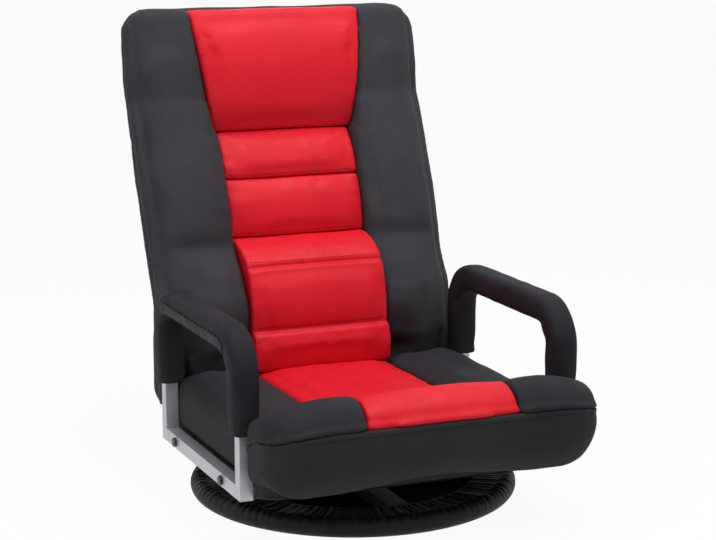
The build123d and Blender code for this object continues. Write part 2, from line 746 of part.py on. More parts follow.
def rear_panel(x, share, drop):
    """The rear panel's section at one X: it lies behind the frame and rounds off at its sides."""
    depth = back_rear_depth * share
    radius = barrel_radius * (1 - barrel_taper * (1 - share))
    top = back_top_z - drop
    return section(x, [
        (mid_y(top) + foam_gap, top, seam_draw / 4),
        (mid_y(top) + depth * bolster_top_share, top - seam_draw / 2, pad_bulge / 2),
        (head_bend_y + depth, head_bend_z, pad_bulge / 2),
        (lumbar_bend_y + depth, lumbar_bend_z, 0),
        (hinge_y + radius, hinge_z, radius * (1 - cos(radians(45)))),
        (hinge_y + foam_gap, hinge_z - radius, 0), (hinge_y + foam_gap, hinge_z, 0),
        (lumbar_bend_y + foam_gap, lumbar_bend_z, 0), (head_bend_y + foam_gap, head_bend_z, 0),
    ])


def frame_channel():
    """The rooms that the foam leaves for the frame, its cross tubes and the two hinges."""
    room = back_tube / 2 + foam_gap
    slot_radius = hypot(back_tube_start, tongue_width / 2) + hinge_slot_gap
    rooms = []
    for side in (-1, 1):
        ends = [side * (hinge_stack_inner - hinge_slot_gap), side * (hinge_stack_outer + hinge_slot_gap)]
        rooms.append(cylinder_x(slot_radius, min(ends), max(ends), hinge_y, hinge_z))
    rooms.append(round_tube(frame_path(), 2 * room))
    for z in cross_tube_heights:
        rooms.append(cylinder_x(room, -ratchet_x, ratchet_x, mid_y(z), z))
    return rooms


def hollowed(solid, rooms):
    """A cushion with each of these rooms cut out of it, one after the other."""
    for room in rooms:
        solid -= room
    return solid


def build_back():
    channel = frame_channel()
    gap = foam_gap / 2
    edge = back_stripe_half_width - gap
    lumbar = [(lumbar_foot_y, lumbar_foot_z, pad_bulge), (lumbar_seam_y, lumbar_seam_z, pad_bulge),
              (lumbar_crest_y, lumbar_crest_z, pad_bulge), (waist_seam_y, waist_seam_z - gap, 0)]
    waist = [(waist_seam_y, waist_seam_z + gap, pad_bulge), (chest_seam_y, chest_seam_z - gap, 0)]
    chest = [(chest_seam_y, chest_seam_z + gap, pad_bulge), (head_seam_y, head_seam_z - gap, 0)]
    for name, front in (("lumbar_pad", lumbar), ("waist_pad", waist), ("chest_pad", chest)):
        add(name, hollowed(crowned_pad(edge, front, front[0][1], front[-1][1]), channel))
    top = back_top_z - seam_draw / 4
    head = [(head_seam_y, head_seam_z + gap, head_bulge),
            (mid_y(top) - bolster_front * bolster_top_share, top, 0)]
    head_pad = crowned_pad(head_top_half_width, head, head[0][1], top) & head_wedge(-gap)
    add("head_pad", hollowed(head_pad, channel))

    inner = back_stripe_half_width + gap
    shoulder = back_half_width - bolster_round
    stations = [(inner, 1.0, seam_draw, 0.0, 1.0), (inner + side_round, 1.0, 0.0, 0.0, 1.0),
                (shoulder, 1.0, 0.0, 0.0, shoulder_swell)]
    for run, share, drop in zip(bolster_runs, bolster_shares, bolster_drops):
        stations.append((shoulder + bolster_round * run, share, 0.0, drop, 0.0))
    side = loft([bolster(*station) for station in stations]) - head_wedge(gap)
    add_pair("back_bolster", hollowed(side, channel))
    half = [(shoulder * part, 1.0, 0.0) for part in middle_parts]
    half += [(x, share, drop) for x, share, draw, drop, swell in stations[2:]]
    panel = [rear_panel(-x, share, drop) for x, share, drop in reversed(half)]
    panel += [rear_panel(x, share, drop) for x, share, drop in [(0.0, 1.0, 0.0)] + half]
    add("back_rear_panel", hollowed(loft(panel), channel))


def main():
    build_base()
    build_base_cover()
    build_swivel()
    build_seat_frame()
    build_arms()
    build_hinge()
    build_back_frame()
    build_seat()
    build_back()
    os.makedirs("parts", exist_ok=True)
    for name, solid in pieces.items():
        export_step(solid, f"parts/{name}.step")


main()
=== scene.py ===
import bmesh
import bpy
import json
import math
import numpy as np
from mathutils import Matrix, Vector, noise


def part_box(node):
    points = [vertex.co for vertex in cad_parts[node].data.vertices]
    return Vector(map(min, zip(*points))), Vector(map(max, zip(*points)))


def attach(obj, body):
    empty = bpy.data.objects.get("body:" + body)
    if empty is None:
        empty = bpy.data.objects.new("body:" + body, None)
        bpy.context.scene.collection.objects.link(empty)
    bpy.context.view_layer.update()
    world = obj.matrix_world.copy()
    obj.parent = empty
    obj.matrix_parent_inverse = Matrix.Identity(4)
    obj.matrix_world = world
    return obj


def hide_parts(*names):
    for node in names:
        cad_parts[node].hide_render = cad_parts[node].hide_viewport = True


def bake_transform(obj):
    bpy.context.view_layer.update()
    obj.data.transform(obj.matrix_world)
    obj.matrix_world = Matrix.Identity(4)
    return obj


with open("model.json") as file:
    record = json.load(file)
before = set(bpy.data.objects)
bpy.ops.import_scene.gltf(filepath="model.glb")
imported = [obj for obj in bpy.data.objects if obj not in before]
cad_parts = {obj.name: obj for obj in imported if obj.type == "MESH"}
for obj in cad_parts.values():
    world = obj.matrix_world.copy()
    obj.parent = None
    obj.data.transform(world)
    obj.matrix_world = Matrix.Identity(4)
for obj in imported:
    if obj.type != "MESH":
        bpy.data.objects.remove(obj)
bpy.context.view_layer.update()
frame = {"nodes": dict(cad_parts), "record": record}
scene = bpy.context.scene
nodes = frame["nodes"]

# Sizes shared with the solids, in metres: the base ring and its cover
RING_RADIUS, RING_Z, COVER_RADIUS = 0.238, 0.016, 0.016
# Armrests: the line along the middle of the sleeve, and the sleeve's section
ARM_X, ARM_FRONT_Y, ARM_REAR_Y, ARM_RAIL_Z = 0.253, -0.203, 0.137, 0.300
ARM_FOOT_Z, ARM_REAR_FOOT_Z, ARM_BEND = 0.1673, 0.1645, 0.052
ARM_CENTRE = Vector((0, (ARM_FRONT_Y + ARM_REAR_Y) / 2, 0.2))
SLEEVE_HALF, SLEEVE_SQUARENESS = 0.0212, 3.4
# The head pad's slanting sides
HEAD_FOOT_Z, HEAD_FOOT_HALF, HEAD_SLOPE = 0.531, 0.123, 0.027 / 0.197
# The seam between front roll and apron, as (y, z)
SPLIT_REAR, SPLIT_FRONT = (-0.226, 0.150), (-0.337, 0.194)
# Where the seat rails begin to sweep up, where they are up, and by how much
RAIL_SWEEP, RAIL_TIP, RAIL_LIFT = -0.185, -0.262, 0.0150
SIDE_RAIL_INNER, SIDE_RAIL_WIDTH = 0.2227, 0.020
HINGE_X, HINGE_Y, HINGE_Z = 0.2169, 0.190, 0.135
# Sewn sides: how far from them a pad takes to rise to its full height
RUN_SLOW, RUN_PANEL, RUN_TIGHT, RUN_SPLIT = 0.04, 0.022, 0.016, 0.014
# Cloth simulation
STUFFING_FRAMES, STUFFING_PRESSURE, CLOTH_STIFFNESS, CLOTH_BENDING = 20, 4.0, 12.0, 0.6
SHRINK_SHARE, SWELL_SHARE, FULL_SHARE, SEWN_SHARE, QUICK_SHARE = 0.6, 1.5, 0.55, 0.12, 0.8


# Mesh helpers

def new_object(name, verts, faces):
    mesh = bpy.data.meshes.new(name)
    mesh.from_pydata([tuple(v) for v in verts], [], faces)
    mesh.update()
    return link(name, mesh)


def link(name, data):
    ob = bpy.data.objects.new(name, data)
    scene.collection.objects.link(ob)
    return ob


def read(items, key, size=3, kind=float):
    """One value of every item, such as the place of each vertex, as the rows of an array."""
    out = np.empty(len(items) * size, kind)
    items.foreach_get(key, out)
    return out.reshape(-1, size)


def coords(mesh):
    return read(mesh.vertices, "co")


def set_coords(mesh, co):
    mesh.vertices.foreach_set("co", co.ravel())
    mesh.update()


def normals(mesh):
    return read(mesh.vertices, "normal")


def quads(rows, size, first=0, closed=False, flip=False):
    """Faces of a grid of points that is listed row by row. Closed rows run back into themselves."""
    faces = []
    for i in range(rows - 1):
        for k in range(size if closed else size - 1):
            a, b = first + i * size + k, first + i * size + (k + 1) % size
            faces.append((a, a + size, b + size, b) if flip else (a, b, b + size, a + size))
    return faces


def thicken(ob, thickness, offset=0):
    """Give a sheet the thickness of its cloth."""
    cloth = ob.modifiers.new("cloth", "SOLIDIFY")
    cloth.thickness, cloth.offset = thickness, offset


def soften_edges(ob, width):
    """Round a metal part's sharp edges."""
    soft = ob.modifiers.new("edges", "BEVEL")
    soft.width, soft.segments, soft.limit_method = width, 3, "ANGLE"
    soft.angle_limit = math.radians(50)


def shade_smooth(mesh):
    mesh.polygons.foreach_set("use_smooth", [True] * len(mesh.polygons))


def evened(mesh, values, rounds, amount=0.5):
    """Values at the points of a mesh, each drawn towards the mean of its neighbours."""
    a, b = read(mesh.edges, "vertices", 2, int).T
    count = len(values)
    degree = np.maximum(np.bincount(a, minlength=count) + np.bincount(b, minlength=count), 1)
    for _ in range(rounds):
        total = [np.bincount(a, values[b, k], count) + np.bincount(b, values[a, k], count)
                 for k in range(3)]
        values = values + amount * (np.stack(total, 1) / degree[:, None] - values)
    return values


def relax(mesh, rounds, amount=0.5):
    set_coords(mesh, evened(mesh, coords(mesh), rounds, amount))


def box_uv(mesh):
    """Lay a map in metres over the mesh, each face seen along its nearest axis."""
    layer = mesh.uv_layers.new(name="weave")
    total = read(mesh.polygons, "loop_total", 1, int)[:, 0]
    axis = np.repeat(np.abs(read(mesh.polygons, "normal")).argmax(1), total)
    at = coords(mesh)[read(mesh.loops, "vertex_index", 1, int)[:, 0]]
    u = np.where(axis == 0, at[:, 1], at[:, 0])
    v = np.where(axis == 2, at[:, 1], at[:, 2])
    layer.data.foreach_set("uv", np.stack([u, v], 1).ravel())


def smoothstep(low, high, value):
    t = np.clip((value - low) / (high - low), 0, 1)
    return t * t * (3 - 2 * t)


def noise_at(points):
    return np.array([noise.noise(Vector(p)) for p in points])


# Materials

def node_material(name):
    mat = bpy.data.materials.new(name)
    mat.use_nodes = True
    tree = mat.node_tree
    return mat, tree, tree.nodes["Principled BSDF"]


def set_sockets(node, **sockets):
    for key, value in sockets.items():
        node.inputs[key.replace("_", " ")].default_value = value


def add_node(tree, kind, **sockets):
    node = tree.nodes.new(kind)
    set_sockets(node, **sockets)
    return node


def texture(tree, place, kind, **sockets):
    node = add_node(tree, "ShaderNodeTex" + kind, **sockets)
    tree.links.new(place, node.inputs["Vector"])
    return node


def object_place(tree):
    return tree.nodes.new("ShaderNodeTexCoord").outputs["Object"]


def feed(tree, socket, value):
    """Set a socket to a number or a colour, or link another socket to it."""
    if isinstance(value, (int, float)):
        socket.default_value = value
    elif isinstance(value, tuple):
        socket.default_value = (*value, 1)
    else:
        tree.links.new(value, socket)


def ramp(tree, source, stops):
    """A colour ramp driven by a socket; stops are (place, colour)."""
    node = tree.nodes.new("ShaderNodeValToRGB")
    while len(node.color_ramp.elements) < len(stops):
        node.color_ramp.elements.new(0.5)
    for element, (place, colour) in zip(node.color_ramp.elements, stops):
        element.position = place
        element.color = (*colour, 1)
    tree.links.new(source, node.inputs[0])
    return node.outputs[0]


def math_node(tree, operation, a, b):
    node = tree.nodes.new("ShaderNodeMath")
    node.operation = operation
    for socket, value in zip(node.inputs, (a, b)):
        feed(tree, socket, value)
    return node.outputs[0]


def mix_colour(tree, factor, a, b, kind="MIX"):
    node = tree.nodes.new("ShaderNodeMix")
    node.data_type = "RGBA"
    node.blend_type = kind
    for index, value in ((0, factor), (6, a), (7, b)):
        feed(tree, node.inputs[index], value)
    return node.outputs[2]


def bump(tree, shader, height, strength, distance, under=None):
    node = add_node(tree, "ShaderNodeBump", Strength=strength, Distance=distance)
    tree.links.new(height, node.inputs["Height"])
    if under is not None:
        tree.links.new(under, node.inputs["Normal"])
    tree.links.new(node.outputs[0], shader.inputs["Normal"])
    return node.outputs[0]


def grey(value):
    return (value, value, value)


def vary_roughness(tree, shader, source, low, high):
    tree.links.new(ramp(tree, source, [(0.3, grey(low)), (0.7, grey(high))]), shader.inputs["Roughness"])


def mesh_fabric(name, low, high, cell, rough, sheen, holes=0.5, depth=0.0005, gloss=0.1):
    """Knitted air mesh: rows of small holes over a soft ground, with slow changes of shade."""
    mat, tree, shader = node_material(name)
    uv = tree.nodes.new("ShaderNodeUVMap").outputs[0]
    knit = texture(tree, uv, "Voronoi", Scale=1 / cell, Randomness=0.22)
    knit.voronoi_dimensions = "2D"
    thread = texture(tree, uv, "Wave", Scale=0.314 / (cell * 0.55), Distortion=1.5, Detail=1.0)
    place = object_place(tree)
    cloud = texture(tree, place, "Noise", Scale=9.0, Detail=4.0, Roughness=0.6)
    fuzz = texture(tree, place, "Noise", Scale=420.0, Detail=3.0, Roughness=0.7)
    hole = ramp(tree, knit.outputs["Distance"], [(0.12, grey(0.0)), (0.34, grey(1.0))])
    shade = ramp(tree, cloud.outputs["Fac"], [(0.3, low), (0.72, high)])
    fleck = ramp(tree, fuzz.outputs["Fac"], [(0.35, grey(0.55)), (0.65, grey(1.25))])
    shade = mix_colour(tree, 0.35, shade, fleck, "MULTIPLY")
    dark = mix_colour(tree, holes, shade, grey(0.25), "MULTIPLY")
    tree.links.new(mix_colour(tree, hole, dark, shade), shader.inputs["Base Color"])
    vary_roughness(tree, shader, fuzz.outputs["Fac"], rough - 0.1, rough + 0.1)
    height = math_node(tree, "ADD", hole, math_node(tree, "MULTIPLY", thread.outputs["Fac"], 0.35))
    height = math_node(tree, "ADD", height, math_node(tree, "MULTIPLY", fuzz.outputs["Fac"], 0.4))
    bump(tree, shader, height, 0.45, depth)
    set_sockets(shader, Sheen_Weight=sheen, Sheen_Roughness=0.45, Specular_IOR_Level=gloss)
    return mat


def grained_cover(name, low, high, rough):
    """Coated upholstery: a pebbled grain, fine pores and a slow mottle, with a soft shine."""
    mat, tree, shader = node_material(name)
    place = object_place(tree)
    pebble = texture(tree, place, "Voronoi", Scale=620.0, Randomness=0.9)
    pebble.feature = "DISTANCE_TO_EDGE"
    pore = texture(tree, place, "Noise", Scale=1500.0, Detail=2.0)
    cloud = texture(tree, place, "Noise", Scale=7.0, Detail=5.0, Roughness=0.6)
    crease = texture(tree, place, "Noise", Scale=55.0, Detail=3.0, Distortion=0.6)
    shade = ramp(tree, cloud.outputs["Fac"], [(0.3, low), (0.7, high)])
    valley = ramp(tree, pebble.outputs["Distance"], [(0.0, grey(0.72)), (0.12, grey(1.0))])
    tree.links.new(mix_colour(tree, 0.5, shade, valley, "MULTIPLY"), shader.inputs["Base Color"])
    vary_roughness(tree, shader, crease.outputs["Fac"], rough - 0.07, rough + 0.08)
    dome = ramp(tree, pebble.outputs["Distance"], [(0.0, grey(0.0)), (0.25, grey(1.0))])
    fine = math_node(tree, "ADD", dome, math_node(tree, "MULTIPLY", pore.outputs["Fac"], 0.4))
    soft = bump(tree, shader, crease.outputs["Fac"], 0.12, 0.004)
    bump(tree, shader, fine, 0.22, 0.0004, soft)
    set_sockets(shader, Specular_IOR_Level=0.2)
    return mat


def woven_cloth(name, low, high, pitch, rough, gloss=0.1):
    """Plain weave: warp and weft at right angles, with slubs and dust."""
    mat, tree, shader = node_material(name)
    uv = tree.nodes.new("ShaderNodeUVMap").outputs[0]
    heights = []
    for direction in ("X", "Y"):
        wave = texture(tree, uv, "Wave", Scale=0.314 / pitch, Distortion=0.8, Detail=2.0)
        wave.bands_direction = direction
        heights.append(wave.outputs["Fac"])
    slub = texture(tree, object_place(tree), "Noise", Scale=26.0, Detail=6.0, Roughness=0.65)
    height = math_node(tree, "MULTIPLY", *heights)
    shade = ramp(tree, slub.outputs["Fac"], [(0.3, low), (0.7, high)])
    thread = ramp(tree, height, [(0.0, grey(0.5)), (0.6, grey(1.1))])
    tree.links.new(mix_colour(tree, 0.6, shade, thread, "MULTIPLY"), shader.inputs["Base Color"])
    vary_roughness(tree, shader, slub.outputs["Fac"], rough - 0.1, rough + 0.08)
    bump(tree, shader, height, 0.4, 0.0004)
    set_sockets(shader, Specular_IOR_Level=gloss)
    return mat


def coated_metal(name, low, high, bare, rough, metallic, peel=0.1):
    """Powder coat or plating: orange peel, a slow mottle and small bright scuffs."""
    mat, tree, shader = node_material(name)
    place = object_place(tree)
    grain = texture(tree, place, "Noise", Scale=900.0, Detail=2.0)
    cloud = texture(tree, place, "Noise", Scale=38.0, Detail=6.0, Roughness=0.7)
    scratch = texture(tree, place, "Noise", Scale=160.0, Detail=5.0, Distortion=2.0)
    shade = ramp(tree, cloud.outputs["Fac"], [(0.3, low), (0.7, high)])
    worn = ramp(tree, scratch.outputs["Fac"], [(0.66, grey(0.0)), (0.74, grey(0.35))])
    tree.links.new(mix_colour(tree, worn, shade, bare), shader.inputs["Base Color"])
    vary_roughness(tree, shader, scratch.outputs["Fac"], rough - 0.06, rough + 0.1)
    bump(tree, shader, grain.outputs["Fac"], peel, 0.0002)
    set_sockets(shader, Metallic=metallic)
    return mat


# The back's mesh and the seat's mesh are one black air mesh in two shades: the back's lighter copy is painted
# light on the bolsters, and the seat's darker copy is painted shade.
LIT_BACK_MESH = mesh_fabric("back_mesh_painted_light", (0.034, 0.034, 0.039), (0.050, 0.050, 0.056), 0.0026, 0.66, 0.02)
SHADED_SEAT_MESH = mesh_fabric("seat_mesh_painted_shade", (0.021, 0.0205, 0.024), (0.031, 0.0305, 0.035), 0.0026, 0.72, 0.0)
ARM_SLEEVE = mesh_fabric("arm_sleeve", (0.015, 0.0145, 0.018), (0.026, 0.025, 0.030), 0.0016, 0.68, 0.0,
                         holes=0.35, depth=0.0003)
RED_COVER = grained_cover("red_cover", (0.64, 0.006, 0.017), (0.73, 0.010, 0.024), 0.5)
BASE_CLOTH = woven_cloth("base_cloth", (0.006, 0.006, 0.0075), (0.012, 0.012, 0.0145), 0.0011, 0.55, 0.17)
WEBBING = woven_cloth("webbing", (0.018, 0.018, 0.019), (0.034, 0.034, 0.036), 0.0022, 0.85)
HEM = woven_cloth("arm_hem", (0.030, 0.029, 0.034), (0.092, 0.090, 0.100), 0.0050, 0.75)
RED_THREAD = woven_cloth("red_thread", (0.30, 0.003, 0.008), (0.42, 0.006, 0.013), 0.0005, 0.6)
THREAD = woven_cloth("thread", (0.006, 0.006, 0.007), (0.014, 0.014, 0.016), 0.0005, 0.6)
SILVER = coated_metal("silver_steel", (0.46, 0.46, 0.49), (0.56, 0.56, 0.59), (0.72, 0.72, 0.72), 0.42, 0.55)
BLACK_STEEL = coated_metal("black_steel", (0.014, 0.014, 0.016), (0.028, 0.028, 0.031), (0.3, 0.3, 0.31),
                           0.5, 0.0, peel=0.2)
ZINC = coated_metal("zinc_steel", (0.42, 0.42, 0.43), (0.6, 0.6, 0.62), (0.75, 0.75, 0.75), 0.34, 0.95)
DARK_BOLT = coated_metal("dark_bolt", (0.03, 0.03, 0.033), (0.07, 0.07, 0.075), (0.4, 0.4, 0.4), 0.4, 0.8)
BALL_STEEL = coated_metal("ball_steel", (0.68, 0.68, 0.7), (0.8, 0.8, 0.82), (0.85, 0.85, 0.85), 0.12, 1.0,
                          peel=0.02)
CAGE = coated_metal("cage_plastic", (0.42, 0.37, 0.26), (0.5, 0.45, 0.33), (0.55, 0.5, 0.4), 0.5, 0.0)


def wear(ob, mat):
    ob.data.materials.clear()
    ob.data.materials.append(mat)


def dress(ob, mat):
    """Smooth shading, weave map and material."""
    shade_smooth(ob.data)
    box_uv(ob.data)
    wear(ob, mat)


def finish_piece(ob, body, mat, replaced=(), levels=0):
    """A piece's looks and its place in the frame."""
    dress(ob, mat)
    if levels:
        ob.modifiers.new("soften", "SUBSURF").levels = levels
        ob.modifiers["soften"].render_levels = levels
    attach(ob, body)
    if replaced:
        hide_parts(*replaced)


# Cushions: each starts from its solid, is stuffed by a cloth simulation and sewn down at its seams

class Pad:
    """One cushion. Sides are planes (point, outward normal, run) that it may not pass, where it is sewn,
    and run is how far from that side it takes to rise to its full height."""

    def __init__(self, name, node, body, mat, slot_name, sides, voxel=0.005, swell=0.009):
        self.name, self.node, self.body = name, node, body
        self.mat, self.slot_name, self.sides, self.swell = mat, slot_name, sides, swell
        source = link(name + "_source", nodes[node].data.copy())
        remesh = source.modifiers.new("even", "REMESH")
        remesh.mode, remesh.voxel_size = "VOXEL", voxel
        bpy.context.view_layer.update()
        graph = bpy.context.evaluated_depsgraph_get()
        mesh = bpy.data.meshes.new_from_object(source.evaluated_get(graph))
        bpy.data.objects.remove(source)
        mesh.name = name
        mesh.materials.clear()
        self.ob = link(name, mesh)
        relax(mesh, 2)

    def rise(self, co):
        """How free each point is to swell: little at a sewn side, fully beyond its run."""
        out = np.ones(len(co))
        for point, normal, run in self.sides:
            out = np.minimum(out, np.abs((co - np.array(point)) @ np.array(normal)) / run)
        return SEWN_SHARE + (1 - SEWN_SHARE) * smoothstep(0.0, 1.0, out)

    def hold(self, co):
        """Bring points that swelled past a sewn side back to it."""
        for point, normal, _ in self.sides:
            past = (co - np.array(point)) @ np.array(normal)
            co -= np.clip(past, 0, None)[:, None] * np.array(normal)
        return co


def unit(*v):
    return tuple(np.array(v) / np.linalg.norm(v))


def box_sides(node, keys, run):
    """Sewn sides on the faces of a node's box, such as x- x+ z-. Sides square to X rise in a tight run."""
    sides = []
    for axis, end in keys.split():
        index = "xyz".index(axis)
        point, normal = [0.0, 0.0, 0.0], [0.0, 0.0, 0.0]
        point[index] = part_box(node)[end == "+"][index]
        normal[index] = 1.0 if end == "+" else -1.0
        sides.append((tuple(point), tuple(normal), RUN_TIGHT if axis == "x" else run))
    return sides


split_up = unit(0, SPLIT_FRONT[1] - SPLIT_REAR[1], SPLIT_REAR[0] - SPLIT_FRONT[0])
split_down = tuple(-c for c in split_up)
split_point = (0.0, *SPLIT_REAR)
over_split = [(split_point, split_down, RUN_SPLIT)]
under_split = [(split_point, split_up, RUN_SPLIT)]
wedges = [((side * HEAD_FOOT_HALF, 0.0, HEAD_FOOT_Z), unit(side, 0, -HEAD_SLOPE), RUN_TIGHT)
          for side in (1, -1)]

pads = []
PAD_SIDES = (("left", "x-", "x+"), ("right", "x+", "x-"))


def pad(name, node, body, mat, slot_name, keys, more_sides=(), run=RUN_SLOW, **more):
    pads.append(Pad(name, node, body, mat, slot_name, [*box_sides(node, keys, run), *more_sides], **more))


pad("seat_centre", "seat_centre_pad", "seat", RED_COVER, "red_cover", "x- x+ y- y+ z-", swell=0.007)
pad("front_roll_middle", "front_roll_centre", "seat", RED_COVER, "red_cover", "x- x+ y+", over_split,
    swell=0.005)
pad("apron", "seat_apron", "seat", SHADED_SEAT_MESH, "black_mesh", "y+ z-", under_split, swell=0.004)
for tag, inner, outer in PAD_SIDES:
    pad("seat_side_" + tag, "seat_side_pad_" + tag, "seat", SHADED_SEAT_MESH, "black_mesh",
        f"{inner} {outer} y- y+ z-", swell=0.007)
    pad("front_roll_" + tag, "front_roll_side_" + tag, "seat", SHADED_SEAT_MESH, "black_mesh",
        inner + " y+", over_split, swell=0.004)
for name in ("lumbar", "waist", "chest"):
    pad(name, name + "_pad", "back", RED_COVER, "red_cover", "x- x+ z- z+", run=RUN_PANEL, voxel=0.004,
        swell=0.005)
pad("head", "head_pad", "back", RED_COVER, "red_cover", "z-", wedges, voxel=0.004, swell=0.007)
for tag, inner, _ in PAD_SIDES:
    pad("bolster_" + tag, "back_bolster_" + tag, "back", LIT_BACK_MESH, "black_mesh", inner, swell=0.007)
pad("rear_cover", "back_rear_panel", "back", LIT_BACK_MESH, "black_mesh", "", voxel=0.006, swell=0.006)


def stuff(pads):
    """Shrink every pad a little, blow it up as cloth, cap how far each point moves, and bring what
    drew in at the edges back out, because foam fills the cover there."""
    starts, limits, outward = [], [], []
    for p in pads:
        mesh = p.ob.data
        co = coords(mesh)
        free = p.rise(co)
        outward.append(normals(mesh))
        co -= outward[-1] * (p.swell * SHRINK_SHARE * free)[:, None]
        set_coords(mesh, co)
        starts.append(co)
        limits.append(p.swell * SWELL_SHARE * free)
        cloth = p.ob.modifiers.new("stuffing", "CLOTH")
        cloth.collision_settings.use_collision = False
        stuffing = cloth.settings
        stuffing.use_pressure, stuffing.uniform_pressure_force = True, STUFFING_PRESSURE
        stuffing.effector_weights.gravity, stuffing.quality = 0.0, 4
        stuffing.tension_stiffness = stuffing.compression_stiffness = CLOTH_STIFFNESS
        stuffing.bending_stiffness = CLOTH_BENDING
    for step in range(1, STUFFING_FRAMES + 1):
        scene.frame_set(step)
    graph = bpy.context.evaluated_depsgraph_get()
    for p, start, limit, out in zip(pads, starts, limits, outward):
        swollen = p.ob.evaluated_get(graph)
        moved = coords(swollen.to_mesh())
        swollen.to_mesh_clear()
        shift = moved - start
        length = np.maximum(np.linalg.norm(shift, axis=1), 1e-9)
        shift *= (np.minimum(length, limit) / length)[:, None]
        shy = np.clip(FULL_SHARE * limit - np.sum(shift * out, axis=1), 0, None)
        shift = evened(p.ob.data, shift + out * shy[:, None], 4)
        p.ob.modifiers.clear()
        set_coords(p.ob.data, p.hold(start + shift))
    scene.frame_set(1)


stuff(pads)
by_name = {p.name: p for p in pads}


# Seams: grooves and puckers

def groove(name, point, normal, depth, width, facing=(0, -1, 0), reach=0.1, lip=0.0):
    """Press a sewn channel into a pad along a plane, on the faces that look one way, over a full lip."""
    mesh = by_name[name].ob.data
    co, nrm = coords(mesh), normals(mesh)
    off = (co - np.array(point)) @ np.array(normal)
    mask = smoothstep(reach, reach + 0.3, nrm @ np.array(facing))
    press = depth * np.exp(-(np.abs(off) / width) ** 1.4) * mask
    press -= lip * np.exp(-((off + 2.6 * width) / (1.6 * width)) ** 2) * mask
    set_coords(mesh, co - nrm * press[:, None])


def pucker(p, amount, length, seed):
    """Small wrinkles that run out of each sewn side and die away from it, and slow waves all over."""
    reach, fade, wave = 0.06, 0.022, 0.0011
    mesh = p.ob.data
    co, nrm = coords(mesh), normals(mesh)
    rise = np.zeros(len(co))
    for index, (point, normal, _) in enumerate(p.sides):
        n = np.abs(np.array(normal))
        off = np.abs((co - np.array(point)) @ np.array(normal))
        near = np.flatnonzero(off < reach)
        if not len(near):
            continue
        stretched = co[near] / length * (1 - 0.86 * n) + np.array([seed + index * 3.1, seed, index])
        dying = amount * np.exp(-off[near] / fade)
        rise[near] += dying * noise_at(stretched) * smoothstep(0, 0.005, off[near])
    slow = noise_at(co * 16 + seed)
    set_coords(mesh, co + nrm * (rise + wave * slow)[:, None])


groove("lumbar", (0, 0.124, 0.234), unit(0, 0.23, 0.97), 0.0050, 0.0030, lip=0.0010)
groove("lumbar", (0, 0.150, 0.334), unit(0, 0.65, 0.76), 0.0060, 0.0030, unit(0, -0.8, 0.6), lip=0.0010)
groove("rear_cover", (0, 0.36, 0.515), (0, 0, 1), 0.0042, 0.0040, (0, 1, 0))
for name, side in (("bolster_left", 1), ("bolster_right", -1)):
    groove(name, (side * 0.242, 0, 0), (side, 0, 0), 0.0030, 0.0042, unit(side * 0.5, -0.85, 0))


# Shapes: each changes the points of a pad in place

def close_seam(co, nrm):
    """The front's rounded edges come back out along the split, and meet there in a shallow line."""
    amount, reach, at_ends, overlap = 0.0066, 0.011, 0.1, 0.0016
    point, normal = np.array(split_point), np.array(split_up)
    near = np.clip(1 - np.abs((co - point) @ normal) / reach, 0, 1)
    near *= 1 + at_ends * smoothstep(0.225, 0.258, np.abs(co[:, 0]))
    along = nrm - (nrm @ normal)[:, None] * normal
    across = np.sign((point - co.mean(axis=0)) @ normal) * normal
    co += along * (amount * near)[:, None]
    co += across * (overlap * near ** 2)[:, None]


def seat_side_bulge(co, nrm):
    """The seat's side stands out a little between the posts of the arm bracket, over its bottom bar, and its
    upper edge is full, but stays under the arm sleeves."""
    rim_lift, sleeve_foot, crown_lift, bulge = 0.011, 0.1665, 0.0045, 0.007
    sign = np.sign(co[:, 0].mean())
    rim = smoothstep(0.205, 0.236, sign * co[:, 0]) * smoothstep(0.120, 0.150, co[:, 2])
    raised = np.minimum(co[:, 2] + rim_lift * rim, np.maximum(co[:, 2], sleeve_foot))
    co[:, 2] = np.where(rim > 0, raised, co[:, 2])
    crown = smoothstep(0.165, 0.205, sign * co[:, 0]) * (1 - smoothstep(0.216, 0.234, sign * co[:, 0]))
    crown *= (smoothstep(0.0, 0.06, co[:, 1]) * (1 - smoothstep(0.108, 0.128, co[:, 1]))
              * smoothstep(0.3, 0.7, nrm[:, 2]))
    co[:, 2] += crown_lift * crown
    along = smoothstep(-0.190, -0.165, co[:, 1]) * (1 - smoothstep(0.100, 0.124, co[:, 1]))
    upward = smoothstep(0.096, 0.112, co[:, 2]) * (1 - smoothstep(0.150, 0.176, co[:, 2]))
    co[:, 0] += sign * bulge * along * upward * smoothstep(0.2, 0.6, sign * nrm[:, 0])


def front_ends(co, _):
    """The seat's front draws in round at both ends, its top droops there and its lower edge arches up in
    the middle."""
    narrowing, corner_lift, arch_lift, droop = 0.0075, 0.056, 0.0115, 0.011
    low, shoulder, seam, high = 0.0954, 0.165, 0.187, 0.232
    corner_start, corner_run = 0.198, 0.064
    co[:, 0] -= np.sign(co[:, 0]) * narrowing * smoothstep(0.195, 0.268, np.abs(co[:, 0]))
    x, y, z = np.abs(co[:, 0]), co[:, 1], co[:, 2]
    out = np.clip((x - corner_start) / corner_run, 0, 1)
    corner = corner_lift * (1 - np.sqrt(1 - out ** 2)) * (0.4 + 0.6 * (1 - smoothstep(-0.295, -0.235, y)))
    arch = arch_lift * (1 - smoothstep(0.0, 0.17, x)) * (1 - smoothstep(-0.262, -0.236, y))
    below = np.clip((seam - z) / (seam - low), 0, 1.1)
    above = np.clip((z - shoulder) / (high - shoulder), 0, 1.1)
    co[:, 2] += (corner + arch) * below - droop * smoothstep(0.165, 0.245, x) * above


